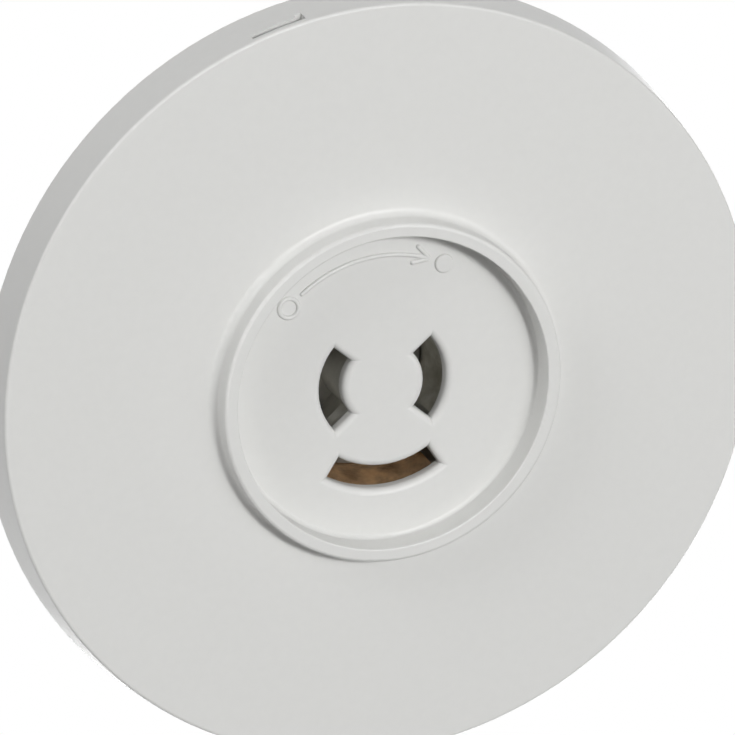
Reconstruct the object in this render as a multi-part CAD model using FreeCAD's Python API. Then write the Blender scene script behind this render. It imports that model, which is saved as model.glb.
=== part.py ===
import FreeCAD, Part
import math
import os

# Flush ceiling rose with a twist-lock socket for a lamp plug.
# Millimetres. +Z points up into the ceiling, the ceiling plane is z = 0, and the face looks down.
# +X runs along the two fixing slots, and the earth slot of the socket lies towards +Y.

# Cover
cover_diameter = 100.0
rim_height = 6.8
rim_draft = 7.5
rim_wall = 1.6
face_wall = 1.6
edge_round = 0.4
rim_edge_round = 0.3
inner_round = 0.5
ceiling_gap = 0.2
collar_diameter = 44.1
collar_bore = 40.7
collar_height = 3.2
collar_draft = 3.5
recess_depth = 3.9
lip_inner_round = 0.2
lip_outer_round = 0.45
foot_round = 1.0
recess_round = 0.5

# Slots for the plug's blades
slot_plate_wall = 1.8
slot_width = 3.0
slot_edge_round = 0.85
line_slot_radius = 6.85
line_slot_angle = 81.0
earth_slot_radius = 12.3
earth_slot_angle = 66.0

# Slot in the rim for a screwdriver that lifts the cover
pry_slot_length = 7.0
pry_slot_height = 0.9
pry_slot_setback = 0.85
pry_slot_direction = -105.5
pry_relief_length = 0.9
pry_relief_height = 0.8

# Ribs that grip the base plate, and pegs that keep the cover's slots over the contacts
grip_rib_count = 8
grip_rib_width = 2.4
grip_rib_depth = 1.3
grip_rib_chamfer = 1.0
grip_clearance = 0.3
peg_diameter = 3.0
peg_circle_radius = 34.0
peg_directions = (45.0, 225.0)
peg_entry = 1.8
peg_clearance = 0.3

# Base plate
base_thickness = 2.6
base_edge_round = 0.5
upstand_height = 1.8
upstand_wall = 1.6
hub_wall = 1.3
hub_edge_round = 0.3
base_rib_count = 8
base_rib_width = 1.4
back_core_count = 24
back_core_length = 6.5
back_core_depth = 1.0
back_core_wall = 1.6
fixing_spacing = 50.8
fixing_slot_width = 4.5
fixing_slot_length = 7.5
fixing_head_diameter = 8.6
fixing_seat_thickness = 1.6
fixing_pad_wall = 1.5

# Contact carrier
carrier_diameter = 36.0
carrier_clearance = 0.3
carrier_front_gap = 0.3
carrier_edge_round = 0.6
flange_margin = 1.1
flange_thickness = 2.5
flange_corner_round = 1.5
flange_seat_depth = 0.8
ledge_thickness = 2.6
hook_angle = 10.0
slot_margin = 0.15
pocket_height = 8.0
pocket_floor = 0.8
barrier_width = 1.6
barrier_reach = 2.6
core_diameter = 10.0
core_floor = 2.0

# Contacts
leaf_thickness = 0.7
leaf_clearance = 0.15
leaf_bow = 0.55
leaf_flare = 0.1
leaf_end_gap = 3.0
leaf_front_gap = 0.2
tail_angle = 36.0
tail_thickness = 0.7

# Terminals
terminal_width = 11.4
terminal_length = 6.5
terminal_height = 7.4
terminal_wall = 2.2
terminal_clearance = 0.15
terminal_chamfer = 0.5
wire_bore = 3.0
wire_bore_height = 2.6
wire_entry_bore = 4.0
clamp_spacing = 5.8

# Screws
clamp_screw_diameter = 3.0
clamp_head_diameter = 4.9
clamp_head_height = 1.8
clamp_head_lift = 1.2
clamp_clearance = 0.12
clamp_tip_chamfer = 0.4
head_slot_width = 0.8
head_slot_depth = 0.9
head_round = 0.3
carrier_screw_direction = 69.0
carrier_screw_gap = 1.7
carrier_screw_diameter = 2.6
carrier_screw_head = 5.2
carrier_screw_head_height = 1.9
carrier_screw_grip = 2.2
carrier_boss_wall = 2.0
lid_screw_margin = 3.8
lid_screw_diameter = 2.2
lid_screw_head = 4.2
lid_screw_head_height = 1.3
lid_screw_grip = 6.0
screw_clearance = 0.12

# Lid over the terminals
lid_thickness = 1.8
lid_gap = 0.2
lid_edge_round = 0.4
access_clearance = 0.5

# Levels along the axis
cover_back = -ceiling_gap
face_level = cover_back - rim_height
lip_level = face_level - collar_height
floor_level = lip_level + recess_depth
slot_plate_back = floor_level + slot_plate_wall
disc_back = face_level + face_wall
base_front = -base_thickness
upstand_front = base_front - upstand_height
flange_front = -flange_seat_depth
flange_top = flange_front + flange_thickness
carrier_front = slot_plate_back + carrier_front_gap
hub_front = carrier_front
ledge_back = carrier_front + ledge_thickness
pocket_top = carrier_front + pocket_height
terminal_floor = pocket_top + pocket_floor
tail_top = terminal_floor + tail_thickness
terminal_top = tail_top + terminal_height
carrier_top = terminal_top + lid_gap
lid_top = carrier_top + lid_thickness

# Radii
rim_back_radius = cover_diameter / 2
rim_front_radius = rim_back_radius - rim_height * math.tan(math.radians(rim_draft))
base_radius = rim_front_radius - rim_wall - grip_rib_depth - grip_clearance
carrier_radius = carrier_diameter / 2
hub_bore_radius = carrier_radius + carrier_clearance
hub_radius = hub_bore_radius + hub_wall
terminal_radius = carrier_radius - terminal_wall - terminal_clearance - terminal_length / 2
lid_screw_radius = carrier_radius - lid_screw_margin
carrier_screw_radius = carrier_radius + carrier_screw_gap + carrier_screw_head / 2
flange_radius = carrier_screw_radius + carrier_screw_head / 2 + flange_margin
flange_half_width = carrier_radius + barrier_reach

# The four poles: direction round the axis, slot radius and slot angle
LINE = {"direction": 0.0, "radius": line_slot_radius, "angle": line_slot_angle}
NEUTRAL = {"direction": 180.0, "radius": line_slot_radius, "angle": line_slot_angle}
EARTH = {"direction": 90.0, "radius": earth_slot_radius, "angle": earth_slot_angle}
LOOP = {"direction": 270.0}
POLES = {"line": LINE, "neutral": NEUTRAL, "earth": EARTH}
TERMINALS = {"line": LINE, "neutral": NEUTRAL, "earth": EARTH, "loop": LOOP}

# Room left above a cut, so that it passes the face it starts from
CUT = 1.0

AXIS = FreeCAD.Vector(0, 0, 1)
ORIGIN = FreeCAD.Vector(0, 0, 0)


def rounded_wire(corners):
    """Closed wire in the XZ plane through corners (x, z, radius), each corner rounded by its radius."""
    starts = []
    ends = []
    middles = []
    count = len(corners)
    for i in range(count):
        x, z, radius = corners[i]
        corner = FreeCAD.Vector(x, 0, z)
        before = FreeCAD.Vector(corners[i - 1][0], 0, corners[i - 1][1]) - corner
        after = FreeCAD.Vector(corners[(i + 1) % count][0], 0, corners[(i + 1) % count][1]) - corner
        before.normalize()
        after.normalize()
        half = before.getAngle(after) / 2
        tangent = radius / math.tan(half)
        starts.append(corner + before * tangent)
        ends.append(corner + after * tangent)
        bisector = before + after
        if radius > 0:
            bisector.normalize()
        middles.append(corner + bisector * (radius / math.sin(half) - radius))
    edges = []
    for i in range(count):
        if corners[i][2] > 0:
            edges.append(Part.Arc(starts[i], middles[i], ends[i]).toShape())
        following = starts[(i + 1) % count]
        if ends[i].distanceToPoint(following) > 1e-6:
            edges.append(Part.LineSegment(ends[i], following).toShape())
    return Part.Wire(edges)


def turned(corners, angle=360.0, direction=0.0):
    """Solid made by turning a rounded outline round the axis, centred on a direction."""
    solid = Part.Face(rounded_wire(corners)).revolve(ORIGIN, AXIS, angle)
    solid.rotate(ORIGIN, AXIS, direction - angle / 2)
    return solid


def sector(inner, outer, low, high, angle, direction):
    """Part of a ring between two radii, two levels and an angle."""
    return turned([(inner, low, 0), (outer, low, 0), (outer, high, 0), (inner, high, 0)], angle, direction)


def post(radius, low, high, x=0.0, y=0.0):
    """Upright cylinder."""
    return Part.makeCylinder(radius, high - low, FreeCAD.Vector(x, y, low))


def block(x_low, x_high, y_low, y_high, low, high):
    """Upright box between given sides."""
    corner = FreeCAD.Vector(x_low, y_low, low)
    return Part.makeBox(x_high - x_low, y_high - y_low, high - low, corner)


def obround(length, width, low, high, x, y):
    """Upright slot shape, rounded at both ends, with its length along X."""
    half = (length - width) / 2
    body = block(x - half, x + half, y - width / 2, y + width / 2, low, high)
    ends = [post(width / 2, low, high, x - half, y), post(width / 2, low, high, x + half, y)]
    return body.multiFuse(ends).removeSplitter()


def at_direction(shape, direction):
    """Copy of a shape turned from +X to a direction round the axis."""
    copy = shape.copy()
    copy.rotate(ORIGIN, AXIS, direction)
    return copy


def ring_of(shape, count, first=0.0):
    """Copies of a shape, evenly spaced round the axis."""
    return [at_direction(shape, first + 360.0 * i / count) for i in range(count)]


def slotted_head(low, diameter, height, x, y, slots):
    """Round screw head with its underside at a level, and straight or crossed driver slots."""
    top = low + height
    outline = [(0, low, 0), (diameter / 2, low, 0), (diameter / 2, top, head_round), (0, top, 0)]
    head = turned(outline)
    half = diameter / 2 + CUT
    if slots == 2:
        half = diameter / 2 - 2 * head_round - head_slot_width / 2
    cutter = block(-half, half, -head_slot_width / 2, head_slot_width / 2, top - head_slot_depth, top + CUT)
    for i in range(slots):
        head = head.cut(at_direction(cutter, 90.0 * i))
    head.translate(FreeCAD.Vector(x, y, 0))
    return head


def mirrored_points(radius, direction):
    """Four places at a radius and a direction, mirrored about both axes."""
    turn = math.radians(direction)
    x = radius * math.cos(turn)
    y = radius * math.sin(turn)
    return [(sx * x, sy * y) for sx in (1, -1) for sy in (1, -1)]


def carrier_screw_points():
    """Places of the screws in the carrier's flange."""
    return mirrored_points(carrier_screw_radius, carrier_screw_direction)


def lid_screw_points():
    """Places of the lid's screws, on the diagonals between the terminals."""
    return mirrored_points(lid_screw_radius, 45.0)


def front_cover():
    """Disc, rim, collar and slotted face in one moulding."""
    inner_front = rim_front_radius - rim_wall
    collar_in = collar_bore / 2
    collar_out = collar_diameter / 2
    collar_foot = collar_out + collar_height * math.tan(math.radians(collar_draft))
    cup_out = collar_in + face_wall
    outline = [
        (0, floor_level, 0),
        (collar_in, floor_level, recess_round),
        (collar_in, lip_level, lip_inner_round),
        (collar_out, lip_level, lip_outer_round),
        (collar_foot, face_level, foot_round),
        (rim_front_radius, face_level, edge_round),
        (rim_back_radius, cover_back, rim_edge_round),
        (rim_back_radius - rim_wall, cover_back, rim_edge_round),
        (inner_front, disc_back, inner_round),
        (cup_out, disc_back, 0),
        (cup_out, slot_plate_back, inner_round),
        (0, slot_plate_back, 0),
    ]
    cover = turned(outline)
    grip_in = base_radius + grip_clearance
    rib_outline = [
        (grip_in, disc_back - face_wall / 2, 0),
        (rim_front_radius - rim_wall / 2, disc_back - face_wall / 2, 0),
        (rim_back_radius - rim_wall / 2, cover_back - rim_edge_round - grip_rib_chamfer / 2, 0),
        (rim_back_radius - rim_wall, cover_back - rim_edge_round - grip_rib_chamfer / 2, 0),
        (grip_in, cover_back - rim_edge_round - 2 * grip_rib_chamfer, 0),
    ]
    rib_angle = math.degrees(grip_rib_width / grip_in)
    ribs = ring_of(turned(rib_outline, rib_angle), grip_rib_count, 180.0 / grip_rib_count)
    peg_outline = [
        (0, disc_back - face_wall / 2, 0),
        (peg_diameter / 2, disc_back - face_wall / 2, 0),
        (peg_diameter / 2, base_front + peg_entry, inner_round),
        (0, base_front + peg_entry, 0),
    ]
    peg = turned(peg_outline)
    peg.translate(FreeCAD.Vector(peg_circle_radius, 0, 0))
    pegs = [at_direction(peg, direction) for direction in peg_directions]
    cover = cover.multiFuse(ribs + pegs)
    cover = cover.cut([blade_slot(pole) for pole in POLES.values()])
    mouths = [edge for edge in cover.Edges if is_slot_mouth(edge)]
    return cover.makeFillet(slot_edge_round, mouths).cut(pry_slot())


def blade_slot(pole):
    """Cutter for one arc slot through the recessed face."""
    inner = pole["radius"] - slot_width / 2
    outer = pole["radius"] + slot_width / 2
    return sector(inner, outer, floor_level - CUT, slot_plate_back + CUT, pole["angle"], pole["direction"])


def is_slot_mouth(edge):
    """True for an edge of the recessed face that lies inside its rounded foot."""
    box = edge.BoundBox
    reach = max(math.hypot(vertex.X, vertex.Y) for vertex in edge.Vertexes)
    level = abs(box.ZMin - floor_level) + abs(box.ZMax - floor_level)
    return level < 1e-6 and reach < collar_bore / 2 - recess_round - 1e-6


def pry_slot():
    """Cutter for the narrow slot in the rim, with a short relief at one end."""
    low = face_level + pry_slot_setback
    inner = base_radius
    outer = rim_back_radius + CUT
    span = math.degrees(pry_slot_length / rim_front_radius)
    relief_span = math.degrees(pry_relief_length / rim_front_radius)
    slot = sector(inner, outer, low, low + pry_slot_height, span, pry_slot_direction)
    end = pry_slot_direction + (span - relief_span) / 2
    relief_top = low + pry_slot_height + pry_relief_height
    relief = sector(inner, outer, low, relief_top, relief_span, end)
    return slot.fuse(relief)


def base_plate():
    """Round plate that is screwed to the ceiling box and carries the cover and the socket."""
    outline = [
        (hub_bore_radius, 0, 0),
        (hub_bore_radius, hub_front, hub_edge_round),
        (hub_radius, hub_front, hub_edge_round),
        (hub_radius, base_front, 0),
        (base_radius - upstand_wall, base_front, 0),
        (base_radius - upstand_wall, upstand_front, base_edge_round),
        (base_radius, upstand_front, base_edge_round),
        (base_radius, 0, base_edge_round),
    ]
    plate = turned(outline)
    middle = base_front + base_thickness / 2
    rib_in = hub_radius - hub_wall / 2
    rib_out = base_radius - upstand_wall / 2
    rib = block(rib_in, rib_out, -base_rib_width / 2, base_rib_width / 2, hub_front, middle)
    additions = ring_of(rib, base_rib_count, 180.0 / base_rib_count)
    head_length = fixing_slot_length + fixing_head_diameter - fixing_slot_width
    pad_length = head_length + 2 * fixing_pad_wall
    pad_width = fixing_head_diameter + 2 * fixing_pad_wall
    for side in (1, -1):
        additions.append(obround(pad_length, pad_width, hub_front, middle, side * fixing_spacing / 2, 0))
    boss_radius = carrier_screw_diameter / 2 + carrier_boss_wall
    for x, y in carrier_screw_points():
        additions.append(post(boss_radius, hub_front, middle, x, y))
    plate = plate.multiFuse(additions)
    cutters = [post(hub_bore_radius, upstand_front - CUT, CUT)] + back_cores()
    cutters.append(flange(carrier_clearance, flange_front, CUT))
    for side in (1, -1):
        x = side * fixing_spacing / 2
        cutters.append(obround(fixing_slot_length, fixing_slot_width, upstand_front - CUT, CUT, x, 0))
        cutters.append(
            obround(head_length, fixing_head_diameter, upstand_front - CUT, -fixing_seat_thickness, x, 0)
        )
    pilot_radius = carrier_screw_diameter / 2 + screw_clearance
    pilot_end = flange_front - carrier_screw_grip - screw_clearance
    for x, y in carrier_screw_points():
        cutters.append(post(pilot_radius, pilot_end, CUT, x, y))
    peg_hole = post(peg_diameter / 2 + peg_clearance, upstand_front - CUT, CUT, peg_circle_radius, 0)
    cutters.extend(at_direction(peg_hole, direction) for direction in peg_directions)
    return plate.cut(cutters).removeSplitter()


def flange(extra, low, high):
    """Round plate with two flats, larger all round than the carrier's flange by an extra."""
    radius = flange_radius + extra
    half = flange_half_width + extra
    plate = post(radius, low, high).common(block(-half, half, -radius, radius, low, high))
    corners = [edge for edge in plate.Edges if edge.BoundBox.ZLength > (high - low) / 2]
    return plate.makeFillet(flange_corner_round + extra, corners)


def back_cores():
    """Cutters for the ring of shallow hollows that keeps the base plate's wall even behind its rim."""
    outer = base_radius - back_core_wall
    inner = outer - back_core_length
    angle = 360.0 / back_core_count - math.degrees(back_core_wall / outer)
    return ring_of(sector(inner, outer, -back_core_depth, CUT, angle, 0), back_core_count)


def leaf_inner_radius(pole):
    """Radius of the contact leaf's inner face at its root."""
    return pole["radius"] + slot_width / 2 + leaf_clearance


def leaf_angle(pole):
    """Angle that the contact leaf spans, short of both ends of its slot."""
    return pole["angle"] - 2 * leaf_end_gap


def terminal_inner(extra=0.0):
    """Radius of a terminal's inner side."""
    return terminal_radius - terminal_length / 2 - extra


def terminal_outer(extra=0.0):
    """Radius of a terminal's outer side."""
    return terminal_radius + terminal_length / 2 + extra


def contact_carrier():
    """Socket body: blade pockets in front, terminal pockets behind, and a flange that rests on the base."""
    barrel = turned([
        (0, carrier_front, 0),
        (carrier_radius, carrier_front, carrier_edge_round),
        (carrier_radius, carrier_top, 0),
        (0, carrier_top, 0),
    ])
    barrier = block(
        carrier_radius - barrier_reach, carrier_radius + barrier_reach,
        -barrier_width / 2, barrier_width / 2, flange_top - flange_thickness / 2, carrier_top,
    )
    additions = [flange(0, flange_front, flange_top)] + ring_of(barrier, 4, 45.0)
    carrier = barrel.multiFuse(additions).removeSplitter()
    cutters = [post(core_diameter / 2, tail_top + core_floor, carrier_top + CUT)]
    for pole in POLES.values():
        cutters.extend(blade_pocket(pole))
    for pole in TERMINALS.values():
        cutters.append(at_direction(terminal_pocket("radius" in pole), pole["direction"]))
    for x, y in carrier_screw_points():
        radius = carrier_screw_diameter / 2 + screw_clearance
        cutters.append(post(radius, flange_front - CUT, flange_top + CUT, x, y))
    for x, y in lid_screw_points():
        low = carrier_top - lid_screw_grip - screw_clearance
        cutters.append(post(lid_screw_diameter / 2 + screw_clearance, low, carrier_top + CUT, x, y))
    for cutter in cutters:
        carrier = carrier.cut(cutter)
    return carrier.removeSplitter()


def blade_pocket(pole):
    """Cutters for one pole: the mouth, the wider pocket behind the ledge and the way up for the contact."""
    inner = pole["radius"] - slot_width / 2 - slot_margin
    leaf_outer = leaf_inner_radius(pole) + leaf_thickness
    outer = leaf_outer + leaf_flare + leaf_clearance
    margin = math.degrees(slot_margin / inner)
    mouth_angle = pole["angle"] + 2 * margin
    mouth = sector(inner, outer, carrier_front - CUT, ledge_back, mouth_angle, pole["direction"])
    hook = sector(inner, outer, ledge_back, pocket_top, pole["angle"] + 2 * hook_angle, pole["direction"])
    neck_angle = tail_angle + 2 * math.degrees(leaf_clearance / inner)
    neck_low = min(leaf_inner_radius(pole), terminal_inner()) - leaf_clearance
    neck_high = max(leaf_outer + leaf_clearance, terminal_radius)
    way_up = sector(
        leaf_inner_radius(pole) - leaf_clearance, leaf_outer + leaf_clearance,
        ledge_back, tail_top + leaf_clearance, neck_angle, pole["direction"],
    )
    shelf = sector(
        neck_low, neck_high, terminal_floor, tail_top + leaf_clearance, neck_angle, pole["direction"]
    )
    return [mouth, hook, way_up, shelf]


def terminal_pocket(has_contact):
    """Cutter on +X for one terminal, open at the top, with two wire entries through the barrel's wall."""
    low = terminal_floor if has_contact else tail_top
    half = terminal_width / 2 + terminal_clearance
    pocket = block(
        terminal_inner(terminal_clearance), terminal_outer(terminal_clearance),
        -half, half, low, carrier_top + CUT,
    )
    entries = []
    for side in (1, -1):
        start = FreeCAD.Vector(terminal_radius, side * clamp_spacing / 2, tail_top + wire_bore_height)
        reach = carrier_radius + barrier_reach - terminal_radius
        entries.append(Part.makeCylinder(wire_entry_bore / 2, reach, start, FreeCAD.Vector(1, 0, 0)))
    return pocket.multiFuse(entries)


def contact(pole):
    """Spring contact: a curved leaf, bowed towards the blade, with a tail under its terminal."""
    inner = leaf_inner_radius(pole)
    tip = carrier_front + leaf_front_gap
    root = pocket_top - leaf_clearance
    middle = (tip + root) / 2
    edges = []
    for shift in (0.0, leaf_thickness):
        start = FreeCAD.Vector(inner + leaf_flare + shift, 0, tip)
        bowed = FreeCAD.Vector(inner - leaf_bow + shift, 0, middle)
        end = FreeCAD.Vector(inner + shift, 0, root)
        edges.append((start, Part.Arc(start, bowed, end).toShape(), end))
    (start_in, arc_in, end_in), (start_out, arc_out, end_out) = edges
    wire = Part.Wire([
        arc_in,
        Part.LineSegment(end_in, end_out).toShape(),
        arc_out,
        Part.LineSegment(start_out, start_in).toShape(),
    ])
    angle = leaf_angle(pole)
    leaf = Part.Face(wire).revolve(ORIGIN, AXIS, angle)
    leaf.rotate(ORIGIN, AXIS, pole["direction"] - angle / 2)
    outer = inner + leaf_thickness
    neck = sector(inner, outer, root - tail_thickness, tail_top, tail_angle, pole["direction"])
    tail_low = min(inner, terminal_inner(-terminal_chamfer))
    tail_high = max(outer, terminal_radius)
    tail = sector(tail_low, tail_high, terminal_floor, tail_top, tail_angle, pole["direction"])
    return leaf.multiFuse([neck, tail]).removeSplitter()


def terminal(pole):
    """Brass clamp block with two wire bores and two screw holes."""
    half = terminal_width / 2
    body = block(terminal_inner(), terminal_outer(), -half, half, tail_top, terminal_top)
    upright = [edge for edge in body.Edges if edge.BoundBox.ZLength > terminal_height / 2]
    body = body.makeChamfer(terminal_chamfer, upright)
    for side in (1, -1):
        y = side * clamp_spacing / 2
        start = FreeCAD.Vector(terminal_inner() - CUT, y, tail_top + wire_bore_height)
        bore = Part.makeCylinder(wire_bore / 2, terminal_length + 2 * CUT, start, FreeCAD.Vector(1, 0, 0))
        hole_radius = clamp_screw_diameter / 2 + clamp_clearance
        hole = post(hole_radius, tail_top + wire_bore_height, terminal_top + CUT, terminal_radius, y)
        body = body.cut(bore).cut(hole)
    return at_direction(body, pole["direction"])


def clamp_screw(pole, side):
    """Screw that clamps a wire in a terminal, with its tip at the top of the wire bore."""
    y = side * clamp_spacing / 2
    tip = tail_top + wire_bore_height + wire_bore / 2
    head_low = terminal_top + clamp_head_lift
    radius = clamp_screw_diameter / 2
    shank = turned([
        (0, tip, 0),
        (radius - clamp_tip_chamfer, tip, 0),
        (radius, tip + clamp_tip_chamfer, 0),
        (radius, head_low + head_slot_depth / 2, 0),
        (0, head_low + head_slot_depth / 2, 0),
    ])
    head = slotted_head(head_low, clamp_head_diameter, clamp_head_height, 0, 0, 1)
    screw = shank.fuse(head).removeSplitter()
    screw.translate(FreeCAD.Vector(terminal_radius, y, 0))
    return at_direction(screw, pole["direction"])


def carrier_screws():
    """Screws that hold the carrier's flange on the base plate."""
    screws = []
    for x, y in carrier_screw_points():
        shank_low = flange_front - carrier_screw_grip
        shank = post(carrier_screw_diameter / 2, shank_low, flange_top + head_slot_depth / 2, x, y)
        head = slotted_head(flange_top, carrier_screw_head, carrier_screw_head_height, x, y, 2)
        screws.append(shank.fuse(head).removeSplitter())
    return Part.makeCompound(screws)


def lid_screws():
    """Screws that hold the lid on the carrier, with their heads sunk in the lid."""
    screws = []
    head_low = lid_top - lid_screw_head_height
    for x, y in lid_screw_points():
        shank = post(lid_screw_diameter / 2, carrier_top - lid_screw_grip, head_low + head_round, x, y)
        head = slotted_head(head_low, lid_screw_head, lid_screw_head_height, x, y, 2)
        screws.append(shank.fuse(head).removeSplitter())
    return Part.makeCompound(screws)


def terminal_lid():
    """Lid that keeps the terminals in their pockets, with a long hole over each pair of clamp screws."""
    lid = turned([
        (0, carrier_top, 0),
        (carrier_radius, carrier_top, 0),
        (carrier_radius, lid_top, lid_edge_round),
        (0, lid_top, 0),
    ])
    width = clamp_head_diameter + 2 * access_clearance
    access = obround(clamp_spacing + width, width, carrier_top - CUT, lid_top + CUT, 0, 0)
    access.rotate(ORIGIN, AXIS, 90)
    access.translate(FreeCAD.Vector(terminal_radius, 0, 0))
    cutters = [at_direction(access, pole["direction"]) for pole in TERMINALS.values()]
    head_low = lid_top - lid_screw_head_height
    for x, y in lid_screw_points():
        cutters.append(post(lid_screw_diameter / 2 + screw_clearance, carrier_top - CUT, lid_top + CUT, x, y))
        cutters.append(post(lid_screw_head / 2 + screw_clearance, head_low, lid_top + CUT, x, y))
    for cutter in cutters:
        lid = lid.cut(cutter)
    return lid.removeSplitter()


def all_nodes():
    """Every piece by its node name."""
    nodes = {
        "front_cover": front_cover(),
        "base_plate": base_plate(),
        "contact_carrier": contact_carrier(),
        "terminal_lid": terminal_lid(),
        "carrier_screws": carrier_screws(),
        "lid_screws": lid_screws(),
    }
    for name, pole in POLES.items():
        nodes[name + "_contact"] = contact(pole)
    for name, pole in TERMINALS.items():
        nodes[name + "_terminal"] = terminal(pole)
        for number, side in ((1, 1), (2, -1)):
            nodes[f"{name}_clamp_screw_{number}"] = clamp_screw(pole, side)
    return nodes


os.makedirs("parts", exist_ok=True)
for node_name, shape in all_nodes().items():
    shape.exportStep(f"parts/{node_name}.step")
    print(node_name, len(shape.Solids), shape.isValid(), round(shape.Volume, 1))
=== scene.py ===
import logging
import math
from dataclasses import dataclass, field
from enum import Enum

import bpy
import numpy as np
from mathutils import Matrix, Vector


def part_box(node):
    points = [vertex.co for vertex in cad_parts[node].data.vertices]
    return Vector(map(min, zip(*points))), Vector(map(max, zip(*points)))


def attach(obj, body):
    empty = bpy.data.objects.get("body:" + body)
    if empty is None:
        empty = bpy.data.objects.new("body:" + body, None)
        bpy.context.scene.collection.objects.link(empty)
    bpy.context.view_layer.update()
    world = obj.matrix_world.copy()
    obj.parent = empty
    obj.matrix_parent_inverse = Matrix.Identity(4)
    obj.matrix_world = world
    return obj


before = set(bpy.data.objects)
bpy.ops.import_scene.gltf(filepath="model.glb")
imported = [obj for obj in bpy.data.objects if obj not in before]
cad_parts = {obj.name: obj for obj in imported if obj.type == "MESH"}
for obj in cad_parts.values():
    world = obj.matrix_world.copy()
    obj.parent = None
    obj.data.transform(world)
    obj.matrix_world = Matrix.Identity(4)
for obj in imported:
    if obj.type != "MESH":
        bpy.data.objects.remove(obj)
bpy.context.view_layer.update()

MM = 0.001
LOG = logging.getLogger("ceiling_rose")

# Levels between which a noise mostly stays, layers of finer noise, and the plastic's refraction
NOISE_LOW = 0.3
NOISE_HIGH = 0.7
CLOUD_DETAIL = 4.0
FINE_DETAIL = 3.0
PLASTIC_IOR = 1.49

Colour = tuple[float, float, float]
Triple = tuple[float, float, float]
Line = tuple[tuple[float, float], tuple[float, float]]
Surface = tuple[np.ndarray, np.ndarray]


class Pole(Enum):
    """The terminals of the rose, with the direction of each round the axis in degrees."""

    LINE = 0.0
    EARTH = 90.0
    NEUTRAL = 180.0
    LOOP = 270.0

    @property
    def word(self) -> str:
        """Name of the pole as the frame's nodes spell it."""
        return self.name.lower()


class MaterialGraph:
    """A node material with one principled shader, built up node by node."""

    def __init__(self, name: str) -> None:
        """Starts an empty material.

        Args:
            name: name of the material.
        """
        self.material = bpy.data.materials.new(name)
        self.material.use_nodes = True
        self.tree = self.material.node_tree
        self.tree.nodes.clear()
        self.shader = self.tree.nodes.new("ShaderNodeBsdfPrincipled")
        output = self.tree.nodes.new("ShaderNodeOutputMaterial")
        self.tree.links.new(self.shader.outputs["BSDF"], output.inputs["Surface"])
        self.place = self.tree.nodes.new("ShaderNodeTexCoord").outputs["Object"]

    def set(self, **values: object) -> None:
        """Sets sockets of the shader; a socket's name has _ for each blank."""
        for name, value in values.items():
            self.shader.inputs[name.replace("_", " ")].default_value = value

    def link(self, source: bpy.types.NodeSocket, target: bpy.types.NodeSocket) -> None:
        """Joins two sockets."""
        self.tree.links.new(source, target)

    def stretched(self, scale: Triple) -> bpy.types.NodeSocket:
        """Object coordinates multiplied along each axis.

        Args:
            scale: factor along X, Y and Z.

        Returns:
            The socket with the coordinates.
        """
        mapping = self.tree.nodes.new("ShaderNodeMapping")
        mapping.inputs["Scale"].default_value = scale
        self.link(self.place, mapping.inputs["Vector"])
        return mapping.outputs["Vector"]

    def noise(
        self, size: float, detail: float = 2.0, vector: bpy.types.NodeSocket | None = None
    ) -> bpy.types.NodeSocket:
        """Cloudy noise.

        Args:
            size: width of a blotch in metres.
            detail: number of finer layers.
            vector: coordinates, the object's own where left out.

        Returns:
            The socket with the noise from 0 to 1.
        """
        node = self.tree.nodes.new("ShaderNodeTexNoise")
        node.inputs["Scale"].default_value = 1.0 / size
        node.inputs["Detail"].default_value = detail
        self.link(vector or self.place, node.inputs["Vector"])
        return node.outputs["Fac"]

    def between(self, value: bpy.types.NodeSocket, low: float, high: float) -> bpy.types.NodeSocket:
        """Maps a noise, which stays mostly between two levels, or a value of 0 or 1 to a range.

        Args:
            value: the noise or the value.
            low: result where it is low.
            high: result where it is high.

        Returns:
            The socket with the result.
        """
        node = self.tree.nodes.new("ShaderNodeMapRange")
        node.inputs["From Min"].default_value = NOISE_LOW
        node.inputs["From Max"].default_value = NOISE_HIGH
        node.inputs["To Min"].default_value = low
        node.inputs["To Max"].default_value = high
        self.link(value, node.inputs["Value"])
        return node.outputs["Result"]

    def blend(self, share: bpy.types.NodeSocket, first: Colour, second: Colour) -> bpy.types.NodeSocket:
        """Colour between two by a share from 0 to 1.

        Args:
            share: the share of the second colour.
            first: colour at 0.
            second: colour at 1.

        Returns:
            The socket with the colour.
        """
        node = self.tree.nodes.new("ShaderNodeMix")
        node.data_type = "RGBA"
        sockets = {socket.identifier: socket for socket in node.inputs}
        sockets["A_Color"].default_value = (*first, 1.0)
        sockets["B_Color"].default_value = (*second, 1.0)
        self.link(share, sockets["Factor_Float"])
        return {socket.identifier: socket for socket in node.outputs}["Result_Color"]

    def bump(self, height: bpy.types.NodeSocket, depth: float, strength: float) -> None:
        """Roughens the surface by a height.

        Args:
            height: height from 0 to 1.
            depth: depth of the relief in metres.
            strength: share of the relief that shows.
        """
        node = self.tree.nodes.new("ShaderNodeBump")
        node.inputs["Distance"].default_value = depth
        node.inputs["Strength"].default_value = strength
        self.link(height, node.inputs["Height"])
        self.link(node.outputs["Normal"], self.shader.inputs["Normal"])


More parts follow.
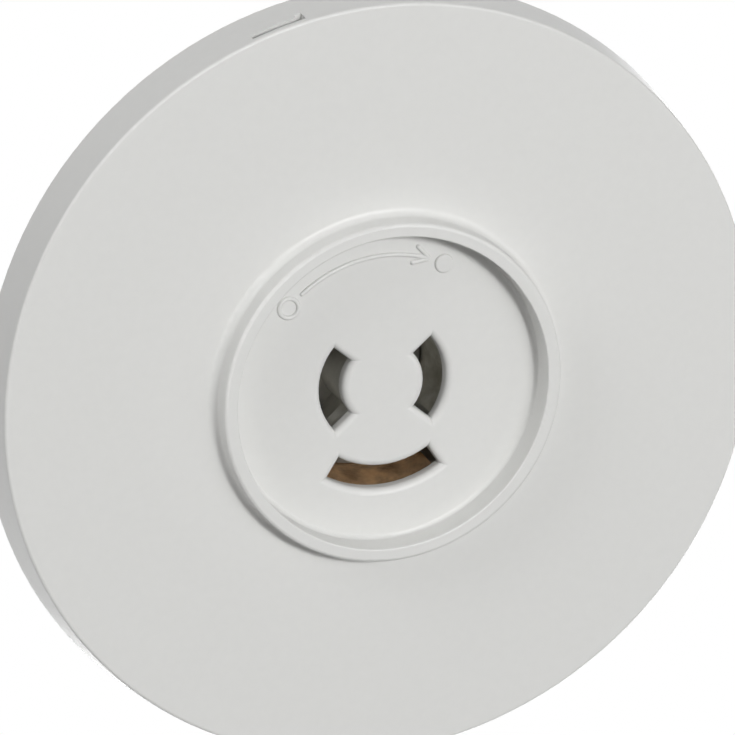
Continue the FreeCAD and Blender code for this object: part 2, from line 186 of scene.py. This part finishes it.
@dataclass(frozen=True)
class MouldedPlastic:
    """Moulded plastic with the fine matt grain of an eroded tool."""

    name: str
    colour: Colour
    roughness: float
    grain: float = 0.16 * MM
    grain_depth: float = 0.004 * MM
    mottle: float = 0.008
    cloud: float = 1.2 * MM
    gloss_spread: float = 0.04
    gloss_patches: int = 3

    def material(self) -> bpy.types.Material:
        """Builds the material: clouded colour, uneven gloss and a fine grain.

        Returns:
            The material.
        """
        graph = MaterialGraph(self.name)
        graph.set(IOR=PLASTIC_IOR, Metallic=0.0)
        light = tuple(c * (1 + self.mottle) for c in self.colour)
        dark = tuple(c * (1 - self.mottle) for c in self.colour)
        share = graph.between(graph.noise(self.cloud, CLOUD_DETAIL), 0.0, 1.0)
        graph.link(graph.blend(share, dark, light), graph.shader.inputs["Base Color"])
        patches = graph.noise(self.cloud / self.gloss_patches, FINE_DETAIL)
        low, high = self.roughness - self.gloss_spread, self.roughness + self.gloss_spread
        gloss = graph.between(patches, low, high)
        graph.link(gloss, graph.shader.inputs["Roughness"])
        graph.bump(graph.noise(self.grain, FINE_DETAIL), self.grain_depth, 1.0)
        return graph.material


@dataclass(frozen=True)
class WorkedMetal:
    """Bare or plated metal with rolling or turning lines."""

    name: str
    colour: Colour
    dull: Colour
    roughness: float
    lines: Triple
    line_depth: float = 0.002 * MM
    blotch: float = 2.5 * MM
    gloss_spread: float = 0.08
    gloss_patches: int = 4

    def material(self) -> bpy.types.Material:
        """Builds the material: blotched tone, uneven gloss and fine lines.

        Returns:
            The material.
        """
        graph = MaterialGraph(self.name)
        graph.set(Metallic=1.0)
        share = graph.between(graph.noise(self.blotch, CLOUD_DETAIL), 0.0, 1.0)
        graph.link(graph.blend(share, self.colour, self.dull), graph.shader.inputs["Base Color"])
        patches = graph.noise(self.blotch / self.gloss_patches, FINE_DETAIL)
        low, high = self.roughness - self.gloss_spread, self.roughness + self.gloss_spread
        gloss = graph.between(patches, low, high)
        graph.link(gloss, graph.shader.inputs["Roughness"])
        grooves = graph.noise(1.0, vector=graph.stretched(self.lines))
        graph.bump(grooves, self.line_depth, 1.0)
        return graph.material


# Blotches to the metre along X, Y and Z, which draw out into lines
ROLLED = (200, 200, 4000)
DRAWN = (6000, 6000, 300)
TURNED = (300, 300, 5000)

COVER_WHITE = MouldedPlastic("cover_white", (0.715, 0.715, 0.700), 0.42)
BASE_WHITE = MouldedPlastic("base_white", (0.700, 0.700, 0.680), 0.48, mottle=0.03)
CARRIER_GREY = MouldedPlastic("carrier_grey", (0.480, 0.472, 0.440), 0.45, mottle=0.10, cloud=2.0 * MM)
LID_GREY = MouldedPlastic("lid_grey", (0.52, 0.52, 0.50), 0.45, mottle=0.03)
CONTACT_BRASS = WorkedMetal("contact_brass", (0.97, 0.72, 0.46), (0.42, 0.29, 0.18), 0.58, ROLLED)
CONTACT_TINNED = WorkedMetal("contact_tinned", (0.66, 0.65, 0.60), (0.46, 0.44, 0.38), 0.58, ROLLED)
TERMINAL_BRASS = WorkedMetal("terminal_brass", (0.78, 0.60, 0.32), (0.66, 0.47, 0.22), 0.28, DRAWN)
CLAMP_STEEL = WorkedMetal("clamp_steel", (0.62, 0.63, 0.62), (0.52, 0.52, 0.49), 0.32, TURNED)
FASTENER_STEEL = WorkedMetal("fastener_steel", (0.64, 0.63, 0.60), (0.54, 0.52, 0.46), 0.34, TURNED)


def dress(node: str, material: bpy.types.Material) -> None:
    """Gives a node of the frame its finish.

    Args:
        node: name of the node.
        material: the finish.
    """
    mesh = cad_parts[node].data
    mesh.materials.clear()
    mesh.materials.append(material)
    LOG.info("dressed %s with %s", node, material.name)


def mesh_object(
    name: str, vertices: np.ndarray, faces: np.ndarray, material: bpy.types.Material
) -> bpy.types.Object:
    """Makes an object at the origin from whole arrays.

    Args:
        name: name of the object.
        vertices: places, one row each, in metres.
        faces: corner numbers, four to a row; a triangle repeats its last corner.
        material: the finish.

    Returns:
        The object, smooth and linked to the scene.
    """
    mesh = bpy.data.meshes.new(name)
    rows = [row[:3] if row[2] == row[3] else row for row in faces.tolist()]
    mesh.from_pydata(vertices.tolist(), [], rows)
    mesh.polygons.foreach_set("use_smooth", np.ones(len(rows), bool))
    mesh.materials.append(material)
    mesh.update()
    piece = bpy.data.objects.new(name, mesh)
    bpy.context.scene.collection.objects.link(piece)
    LOG.info("made %s with %d faces", name, len(rows))
    return piece


@dataclass
class Solid:
    """Vertices and faces gathered from several closed surfaces."""

    vertices: list[np.ndarray] = field(default_factory=list)
    faces: list[np.ndarray] = field(default_factory=list)
    count: int = 0

    def add(self, vertices: np.ndarray, faces: np.ndarray) -> None:
        """Adds one surface, with its corner numbers moved past those already there.

        Args:
            vertices: places, one row each.
            faces: corner numbers, four to a row.
        """
        self.vertices.append(vertices)
        self.faces.append(faces + self.count)
        self.count += len(vertices)

    def arrays(self) -> Surface:
        """All vertices and all faces."""
        return np.concatenate(self.vertices), np.concatenate(self.faces)


def carried(
    path: np.ndarray,
    across: np.ndarray,
    up: np.ndarray,
    profile: np.ndarray,
    width: np.ndarray,
    endless: bool = False,
) -> Surface:
    """Carries a closed profile along a path; an open path is closed by a point at both ends.

    A point is path(i) + width(i) * (profile_x(j) * across(i) + profile_y(j) * up(i)).

    Args:
        path: points of the path, one row each.
        across: sideways direction at each point.
        up: upward direction at each point; across, up and the way back are right-handed.
        profile: points of the closed profile, two columns, turning from across to up.
        width: factor on the profile at each point.
        endless: whether the path runs back into its first point.

    Returns:
        Vertices and faces of the closed surface.
    """
    steps, corners = len(path), len(profile)
    ring = profile[None, :, 0, None] * across[:, None, :] + profile[None, :, 1, None] * up[:, None, :]
    vertices = (path[:, None, :] + width[:, None, None] * ring).reshape(-1, 3)
    corner = np.arange(corners)
    beside = (corner + 1) % corners
    here = np.arange(steps if endless else steps - 1)[:, None] * corners
    there = (here + corners) % (steps * corners)
    sides = np.stack([here + corner, there + corner, there + beside, here + beside], -1).reshape(-1, 4)
    if endless:
        return vertices, sides
    first, last, final = steps * corners, steps * corners + 1, (steps - 1) * corners
    front = np.stack([np.full(corners, first), corner, beside, beside], -1)
    back = np.stack([np.full(corners, last), final + beside, final + corner, final + corner], -1)
    return np.vstack([vertices, path[0], path[-1]]), np.vstack([sides, front, back])


@dataclass
class Relief:
    """Raised strokes on a flat face that looks up or down: beads sunk by half in the face."""

    level: float
    outward: float
    half_width: float
    height: float
    sides: int = 12
    least_square: float = 0.02
    edge_steps: int = 16
    dot_sides: int = 40
    solid: Solid = field(default_factory=Solid)

    def on_face(self, places: np.ndarray) -> np.ndarray:
        """Points on the face from their X and Y."""
        return np.column_stack([places, np.full(len(places), self.level)])

    def profile(self) -> np.ndarray:
        """Points of a bead's outline: an ellipse, half width by height."""
        turn = np.linspace(0, 2 * np.pi, self.sides, endpoint=False)
        return np.stack([self.half_width * np.cos(turn), self.height * np.sin(turn)], -1)

    def stroke(self, places: np.ndarray) -> None:
        """Adds a bead along a path: an ellipse that narrows to a round at both ends.

        The width's square at a distance s from the nearer end is 1 - (1 - s / half width)^2, at most 1.

        Args:
            places: X and Y of the path's points, one row each.
        """
        path = self.on_face(places)
        tangent = np.gradient(path, axis=0)
        tangent /= np.linalg.norm(tangent, axis=1, keepdims=True)
        up = np.tile([0.0, 0.0, self.outward], (len(path), 1))
        across = np.cross(tangent, up)
        steps = np.linalg.norm(np.diff(path, axis=0), axis=1)
        along = np.concatenate([[0.0], np.cumsum(steps)])
        near = np.minimum(along, along[-1] - along) / self.half_width
        width = np.sqrt(np.clip(1 - (1 - np.minimum(near, 1)) ** 2, self.least_square, 1))
        self.solid.add(*carried(path, across, up, self.profile(), width))

    def line(self, first: np.ndarray, last: np.ndarray, points: int = 24) -> None:
        """Adds a straight bead, with its points closer together towards both ends."""
        t = (1 - np.cos(np.linspace(0, np.pi, points))) / 2
        self.stroke(np.asarray(first) + t[:, None] * (np.asarray(last) - np.asarray(first)))

    def arc(self, centre: np.ndarray, radius: float, start: float, end: float, points: int = 96) -> None:
        """Adds a bead along an arc from one angle to another, in radians from +X towards +Y."""
        angle = start + (end - start) * (1 - np.cos(np.linspace(0, np.pi, points))) / 2
        self.stroke(np.asarray(centre) + radius * np.stack([np.cos(angle), np.sin(angle)], -1))

    def ring(self, centre: np.ndarray, radius: float, points: int = 64) -> None:
        """Adds a bead along a whole circle: a torus with an elliptic tube, sunk by half in the face.

        Args:
            centre: X and Y of the circle's middle.
            radius: radius of the circle.
            points: number of points round the circle.
        """
        angle = np.linspace(0, 2 * np.pi, points, endpoint=False)
        away = np.stack([np.cos(angle), np.sin(angle), 0 * angle], -1)
        path = self.on_face(np.asarray(centre) + radius * away[:, :2])
        up = np.tile([0.0, 0.0, self.outward], (points, 1))
        across = self.outward * away
        self.solid.add(*carried(path, across, up, self.profile(), np.ones(points), endless=True))

    def dot(self, centre: np.ndarray, radius: float) -> None:
        """Adds a flat dot with a rounded edge: radius and level follow a half ellipse at the edge.

        Args:
            centre: X and Y of the dot's middle.
            radius: radius of the dot.
        """
        steps = np.linspace(0, np.pi, self.edge_steps)
        width = radius - self.half_width * (1 - np.sin(steps))
        turn = np.linspace(0, 2 * np.pi * self.outward, self.dot_sides, endpoint=False)
        profile = np.stack([np.cos(turn), np.sin(turn)], -1)
        path = np.tile([*centre, self.level], (len(steps), 1))
        path[:, 2] += self.outward * self.height * np.cos(steps)
        across = np.tile([1.0, 0.0, 0.0], (len(steps), 1))
        up = np.tile([0.0, 1.0, 0.0], (len(steps), 1))
        self.solid.add(*carried(path, across, up, profile, width))

    def build(self, name: str, material: bpy.types.Material) -> bpy.types.Object:
        """Makes one object of all the strokes."""
        return mesh_object(name, *self.solid.arrays(), material)


@dataclass
class TurnMark:
    """Raised mark on the recessed face: an arrow the way the plug turns, from a ring to a dot."""

    radius: float = 16.9 * MM
    start: float = math.radians(137.0)
    end: float = math.radians(62.0)
    half_width: float = 0.30 * MM
    height: float = 0.30 * MM
    ring_radius: float = 1.25 * MM
    barb: float = 2.6 * MM
    barb_angle: float = math.radians(28.0)
    gap: float = math.radians(7.0)

    def at(self, angle: float) -> np.ndarray:
        """X and Y on the mark's circle, at an angle from +X the way the face shows it."""
        return self.radius * np.array([math.cos(angle), -math.sin(angle)])

    def build(self, floor: float, material: bpy.types.Material) -> bpy.types.Object:
        """Makes the mark as one object that rides on the cover.

        Args:
            floor: level of the recessed face.
            material: the cover's finish.

        Returns:
            The mark.
        """
        relief = Relief(floor, -1.0, self.half_width, self.height)
        head = self.end + self.gap
        relief.arc(np.zeros(2), self.radius, self.gap - self.start, -head)
        tip = self.at(head)
        back = np.array([-math.sin(head), -math.cos(head)])
        side = tip / self.radius
        for sign in (1, -1):
            away = back * math.cos(self.barb_angle) + sign * side * math.sin(self.barb_angle)
            relief.line(tip, tip + self.barb * away)
        relief.ring(self.at(self.start), self.ring_radius)
        relief.dot(self.at(self.end), self.ring_radius)
        piece = relief.build("turn_mark", material)
        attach(piece, "cover")
        return piece


@dataclass
class TerminalMarks:
    """Raised signs on the lid beside the terminals: two plain letters, the earth sign and a ring."""

    radius: float = 6.2 * MM
    size: float = 2.4 * MM
    half_width: float = 0.18 * MM
    height: float = 0.18 * MM

    def strokes(self, pole: Pole) -> list[Line]:
        """Lines of a pole's sign.

        Args:
            pole: the terminal.

        Returns:
            Lines between two points each, in shares of the sign's size; none for the ring.
        """
        signs: dict[Pole, list[Line]] = {
            Pole.LINE: [
                ((-0.3, 0.5), (-0.3, -0.5)),
                ((-0.3, -0.5), (0.3, -0.5)),
            ],
            Pole.NEUTRAL: [
                ((-0.35, -0.5), (-0.35, 0.5)),
                ((-0.35, 0.5), (0.35, -0.5)),
                ((0.35, -0.5), (0.35, 0.5)),
            ],
            Pole.EARTH: [
                ((0.0, 0.5), (0.0, 0.0)),
                ((-0.5, 0.0), (0.5, 0.0)),
                ((-0.32, -0.22), (0.32, -0.22)),
                ((-0.14, -0.44), (0.14, -0.44)),
            ],
        }
        return signs.get(pole, [])

    def build(self, material: bpy.types.Material) -> bpy.types.Object:
        """Makes all signs as one object that rides on the base.

        Args:
            material: the lid's finish.

        Returns:
            The signs.
        """
        relief = Relief(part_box("terminal_lid")[1].z, 1.0, self.half_width, self.height)
        for pole in Pole:
            turn = math.radians(pole.value)
            centre = self.radius * np.array([math.cos(turn), math.sin(turn)])
            for first, last in self.strokes(pole):
                relief.line(centre + self.size * np.array(first), centre + self.size * np.array(last))
            if pole is Pole.LOOP:
                relief.ring(centre, self.size / 2)
        piece = relief.build("terminal_marks", material)
        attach(piece, "base")
        return piece


@dataclass
class FrontCover:
    """The visible moulding: disc, rim, collar and slotted face."""

    recess_depth: float = 3.9 * MM
    collar_height: float = 3.2 * MM
    mark: TurnMark = field(default_factory=TurnMark)

    @property
    def lip_level(self) -> float:
        """Level of the collar's lip, the lowest of the cover."""
        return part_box("front_cover")[0].z

    @property
    def face_level(self) -> float:
        """Level of the disc's face."""
        return self.lip_level + self.collar_height

    @property
    def floor_level(self) -> float:
        """Level of the recessed face inside the collar."""
        return self.lip_level + self.recess_depth

    def build(self) -> None:
        """Dresses the moulding and adds its raised mark."""
        material = COVER_WHITE.material()
        dress("front_cover", material)
        self.mark.build(self.floor_level, material)


@dataclass
class ClampScrews:
    """Clamp screws of the terminals, with the thread that the frame leaves plain."""

    pitch: float = 0.5 * MM
    shank_radius: float = 1.5 * MM
    crest: float = 0.09 * MM
    root: float = 0.06 * MM
    flank: float = 0.42
    crest_flat: float = 0.08
    head_height: float = 1.8 * MM
    tip_length: float = 0.45 * MM
    points_per_turn: int = 40
    taper_turns: float = 0.25
    least_width: float = 0.05
    per_terminal: int = 2

    def thread(self, node: str, material: bpy.types.Material) -> bpy.types.Object:
        """Winds a thread on one screw: a trapezium carried along a helix.

        At a share t of the length, the angle is 2 pi * turns * t, the radius is the shank's, and the
        level runs from the bottom to the top.

        Args:
            node: name of the screw's node.
            material: the finish.

        Returns:
            The thread, riding on the screw.
        """
        low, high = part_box(node)
        x, y = (low.x + high.x) / 2, (low.y + high.y) / 2
        bottom = low.z + self.tip_length + self.pitch / 2
        top = high.z - self.head_height - self.pitch / 2
        turns = (top - bottom) / self.pitch
        t = np.linspace(0, 1, int(turns * self.points_per_turn))
        angle = 2 * np.pi * turns * t
        outward = np.stack([np.cos(angle), np.sin(angle), 0 * angle], -1)
        path = np.array([x, y, 0.0]) + self.shank_radius * outward
        path[:, 2] = bottom + t * (top - bottom)
        up = np.tile([0.0, 0.0, 1.0], (len(path), 1))
        half = self.flank * self.pitch
        flat = self.crest_flat * self.pitch
        profile = np.array(
            [[-self.root, -half], [self.crest, -flat], [self.crest, flat], [-self.root, half]]
        )
        end = np.minimum(t, 1 - t) * turns
        width = np.clip(end / self.taper_turns, self.least_width, 1)
        piece = mesh_object(node + "_thread", *carried(path, outward, up, profile, width), material)
        piece.data.polygons.foreach_set("use_smooth", np.zeros(len(piece.data.polygons), bool))
        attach(piece, node)
        return piece

    def build(self) -> None:
        """Dresses the screws and winds their threads."""
        material = CLAMP_STEEL.material()
        for pole in Pole:
            for number in range(self.per_terminal):
                node = f"{pole.word}_clamp_screw_{number + 1}"
                dress(node, material)
                self.thread(node, material)


@dataclass
class Socket:
    """Socket body, its lid, contacts and terminals."""

    marks: TerminalMarks = field(default_factory=TerminalMarks)

    def build(self) -> None:
        """Dresses the nodes of the socket."""
        dress("contact_carrier", CARRIER_GREY.material())
        lid = LID_GREY.material()
        dress("terminal_lid", lid)
        self.marks.build(lid)
        brass, tinned = CONTACT_BRASS.material(), CONTACT_TINNED.material()
        terminal = TERMINAL_BRASS.material()
        for pole in Pole:
            dress(f"{pole.word}_terminal", terminal)
            if pole is not Pole.LOOP:
                dress(f"{pole.word}_contact", brass if pole is Pole.EARTH else tinned)


@dataclass
class Base:
    """Base plate and the screws that hold the socket and its lid."""

    screw_groups: tuple[str, ...] = ("carrier_screws", "lid_screws")

    def build(self) -> None:
        """Dresses the nodes of the base."""
        dress("base_plate", BASE_WHITE.material())
        fastener = FASTENER_STEEL.material()
        for group in self.screw_groups:
            dress(group, fastener)


@dataclass(frozen=True)
class Viewpoint:
    """Camera of the photograph: the face's axis leans down and to the right in the picture."""

    face_level: float
    tilt: float = math.radians(27.48)
    bearing: float = math.radians(43.39)
    turn: float = math.radians(7.2)
    distance: float = 771.5 * MM
    face_scale: float = 8081.0
    frame_pixels: float = 735.0
    face_pixel: tuple[float, float] = (386.0, 386.4)
    sensor: float = 36.0
    near: float = 0.01
    far: float = 50.0

    def rotation(self) -> Matrix:
        """Turn from the part's axes to the camera's, which run right, up and back to the camera.

        Returns:
            The matrix; its columns are the part's X, Y and Z as the camera sees them.
        """
        normal = Vector((
            math.sin(self.tilt) * math.cos(self.bearing),
            -math.sin(self.tilt) * math.sin(self.bearing),
            math.cos(self.tilt),
        ))
        up = Vector((0, 1, 0)) - normal.y * normal
        up.normalize()
        right = up.cross(normal)
        x_axis = math.cos(self.turn) * right + math.sin(self.turn) * up
        y_axis = math.sin(self.turn) * right - math.cos(self.turn) * up
        return Matrix((x_axis, y_axis, -normal)).transposed()

    def direction(self, round_face: float, over_face: float) -> Vector:
        """Unit direction away from the face.

        Args:
            round_face: degrees round the face from the picture's right towards its top.
            over_face: degrees over the face's plane, towards the camera's side.

        Returns:
            The direction in the frame of the part.
        """
        around = math.radians(round_face) - self.turn
        over = math.radians(over_face)
        flat = math.cos(over)
        return Vector((flat * math.cos(around), -flat * math.sin(around), -math.sin(over)))

    def build(self) -> bpy.types.Object:
        """Places the camera and makes it the scene's own.

        Returns:
            The camera.
        """
        middle = self.frame_pixels / 2
        seen = Vector((
            (self.face_pixel[0] - middle) / self.face_scale,
            -(self.face_pixel[1] - middle) / self.face_scale,
            -self.distance,
        ))
        back = self.rotation().transposed()
        place = Vector((0, 0, self.face_level)) - back @ seen
        data = bpy.data.cameras.new("camera")
        data.sensor_width = self.sensor
        data.lens = self.face_scale * self.distance / self.frame_pixels * self.sensor
        data.clip_start = self.near
        data.clip_end = self.far
        camera = bpy.data.objects.new("camera", data)
        camera.matrix_world = Matrix.Translation(place) @ back.to_4x4()
        bpy.context.scene.collection.objects.link(camera)
        bpy.context.scene.camera = camera
        return camera


@dataclass(frozen=True)
class SoftBox:
    """One square lamp, given by where it stands round and over the face."""

    name: str
    round_face: float
    over_face: float
    distance: float
    size: float
    power: float

    def build(self, view: Viewpoint) -> bpy.types.Object:
        """Places the lamp, turned to the rose.

        Args:
            view: camera that gives the directions.

        Returns:
            The lamp.
        """
        data = bpy.data.lights.new(self.name, "AREA")
        data.shape = "SQUARE"
        data.size = self.size
        data.energy = self.power
        lamp = bpy.data.objects.new(self.name, data)
        towards = view.direction(self.round_face, self.over_face)
        lamp.location = Vector((0, 0, view.face_level)) + self.distance * towards
        lamp.rotation_euler = towards.to_track_quat("Z", "Y").to_euler()
        bpy.context.scene.collection.objects.link(lamp)
        return lamp


@dataclass
class Studio:
    """Lamps, white surroundings and a pale floor."""

    view: Viewpoint
    ambient: float = 0.02
    floor_level: float = -2.3
    floor_half: float = 6.0
    floor_cloud: float = 0.4
    floor_dark: Colour = (0.63, 0.63, 0.62)
    floor_light: Colour = (0.67, 0.67, 0.66)
    floor_roughness: float = 0.9
    floor_glow: float = 0.60
    glow_colour: Colour = (1.0, 1.0, 0.99)
    lamps: tuple[SoftBox, ...] = (
        SoftBox("key", 76.0, 69.0, 2.0, 0.28, 18.2),
        SoftBox("second", 48.0, 65.0, 2.0, 0.60, 7.6),
        SoftBox("low_fill", 146.0, 9.0, 2.0, 1.10, 18.2),
        SoftBox("right_fill", 350.0, 38.0, 2.0, 0.90, 4.2),
        SoftBox("back", 0.0, -90.0, 2.0, 3.20, 18.0),
        SoftBox("back_right", 318.0, -42.0, 2.0, 1.60, 30.0),
        SoftBox("back_low", 262.0, -25.0, 2.0, 2.00, 11.0),
    )

    def world(self) -> None:
        """Lights the part by a plain dome, and shows white to the camera, mirrors and glass."""
        world = bpy.data.worlds.new("surroundings")
        world.use_nodes = True
        tree = world.node_tree
        tree.nodes.clear()
        seen = self.seen(tree)
        dome = tree.nodes.new("ShaderNodeBackground")
        dome.inputs["Color"].default_value = (1, 1, 1, 1)
        dome.inputs["Strength"].default_value = self.ambient
        white = tree.nodes.new("ShaderNodeBackground")
        white.inputs["Color"].default_value = (1, 1, 1, 1)
        white.inputs["Strength"].default_value = 1.0
        mix = tree.nodes.new("ShaderNodeMixShader")
        output = tree.nodes.new("ShaderNodeOutputWorld")
        tree.links.new(seen, mix.inputs["Fac"])
        tree.links.new(dome.outputs["Background"], mix.inputs[1])
        tree.links.new(white.outputs["Background"], mix.inputs[2])
        tree.links.new(mix.outputs["Shader"], output.inputs["Surface"])
        bpy.context.scene.world = world

    def seen(self, tree: bpy.types.NodeTree) -> bpy.types.NodeSocket:
        """Tells the rays that see the surroundings from those that light the part.

        Args:
            tree: nodes of the world or of a material.

        Returns:
            The socket that is 1 for the camera's rays and for those in mirrors and glass.
        """
        path = tree.nodes.new("ShaderNodeLightPath")
        socket = path.outputs["Is Camera Ray"]
        for name in ("Is Glossy Ray", "Is Transmission Ray"):
            node = tree.nodes.new("ShaderNodeMath")
            node.operation = "MAXIMUM"
            tree.links.new(socket, node.inputs[0])
            tree.links.new(path.outputs[name], node.inputs[1])
            socket = node.outputs["Value"]
        return socket

    def floor(self) -> None:
        """Lays a floor far below the rose, which the camera, mirrors and glass see pale to its edge."""
        half, level = self.floor_half, self.floor_level
        corners = [(-half, -half, level), (half, -half, level), (half, half, level), (-half, half, level)]
        graph = MaterialGraph("floor_pale")
        share = graph.between(graph.noise(self.floor_cloud), 0.0, 1.0)
        colour = graph.blend(share, self.floor_dark, self.floor_light)
        graph.link(colour, graph.shader.inputs["Base Color"])
        graph.set(Roughness=self.floor_roughness, Emission_Color=(*self.glow_colour, 1.0))
        glow = graph.between(self.seen(graph.tree), 0.0, self.floor_glow)
        graph.link(glow, graph.shader.inputs["Emission Strength"])
        floor = mesh_object("floor", np.array(corners), np.array([[0, 1, 2, 3]]), graph.material)

    def build(self) -> None:
        """Makes the surroundings, the floor and the lamps."""
        self.world()
        self.floor()
        for lamp in self.lamps:
            lamp.build(self.view)
        bpy.context.scene.view_settings.view_transform = "Standard"


def main() -> None:
    """Builds the rose's looks, piece by piece, then the studio and the camera."""
    logging.basicConfig(level=logging.INFO, format="%(name)s: %(message)s")
    cover = FrontCover()
    cover.build()
    Base().build()
    Socket().build()
    ClampScrews().build()
    view = Viewpoint(cover.face_level)
    view.build()
    Studio(view).build()
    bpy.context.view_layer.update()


if __name__ == "__main__":
    main()
